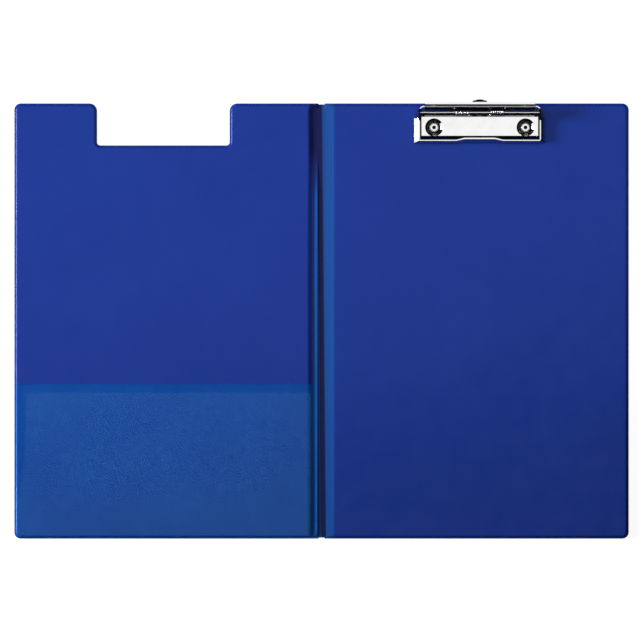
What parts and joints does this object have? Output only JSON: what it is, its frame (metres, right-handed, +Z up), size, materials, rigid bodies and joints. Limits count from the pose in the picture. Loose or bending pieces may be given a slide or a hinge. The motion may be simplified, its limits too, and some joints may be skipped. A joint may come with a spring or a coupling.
{
  "type": "fold-over clipboard folder",
  "caption": "Fold-over clipboard folder lying open: a stiff PVC-covered back panel with a sprung steel clip, a soft welded spine and a notched cover with a see-through pocket.",
  "frame": {"origin": "on the fold line, at half the folder's height, on the surface that the open folder lies on", "axes": "+X from the fold line across the back panel with the clip, +Y up the pages towards the clip's edge, +Z up from the table"},
  "size_m": [0.48, 0.3431, 0.0149],
  "materials": {
    "pvc_foil": "glossy royal blue PVC foil with a faint grain, welded at its edges",
    "clear_film": "clear, slightly hazy PVC film",
    "greyboard": "plain grey board, hidden in the sleeve",
    "plated_steel": "bright nickel-plated pressed steel",
    "spring_wire": "drawn spring wire",
    "rivet_steel": "bright plated tubular rivets",
    "tab_steel": "dark plated sheet steel"
  },
  "bodies": {
    "back": {"back_board": "greyboard", "back_inner_foil": "pvc_foil", "back_outer_foil": "pvc_foil", "clip_base_plate": "plated_steel", "hinge_rod": "plated_steel", "rivets": "rivet_steel", "rivet_washers": "rivet_steel"},
    "spine": {"spine_inner_foil": "pvc_foil", "spine_outer_foil": "pvc_foil"},
    "cover": {"cover_board": "greyboard", "cover_inner_foil": "pvc_foil", "cover_outer_foil": "pvc_foil", "cover_pocket": "clear_film"},
    "jaw": {"jaw_lever": "plated_steel", "spring_left": "spring_wire", "spring_right": "spring_wire"},
    "tab": {"hanging_tab": "tab_steel"}
  },
  "joints": [
    {"name": "spine_fold", "type": "hinge", "parent": "back", "child": "spine", "pos_m": [0.00235, 0, 0.00135], "axis": [0, 1, 0], "range_deg": [-90, 90]},
    {"name": "cover_fold", "type": "hinge", "parent": "spine", "child": "cover", "pos_m": [-0.00235, 0, 0.00135], "axis": [0, 1, 0], "range_deg": [-90, 90]},
    {"name": "jaw_hinge", "type": "hinge", "parent": "back", "child": "jaw", "pos_m": [0.1236, 0.1628, 0.00785], "axis": [-1, 0, 0], "range_deg": [0, 35], "stiffness_Nm_per_rad": 0.4, "springref_deg": -34.38},
    {"name": "tab_slide", "type": "slide", "parent": "back", "child": "tab", "axis": [0, 1, 0], "range_m": [0, 0.012]}
  ]
}
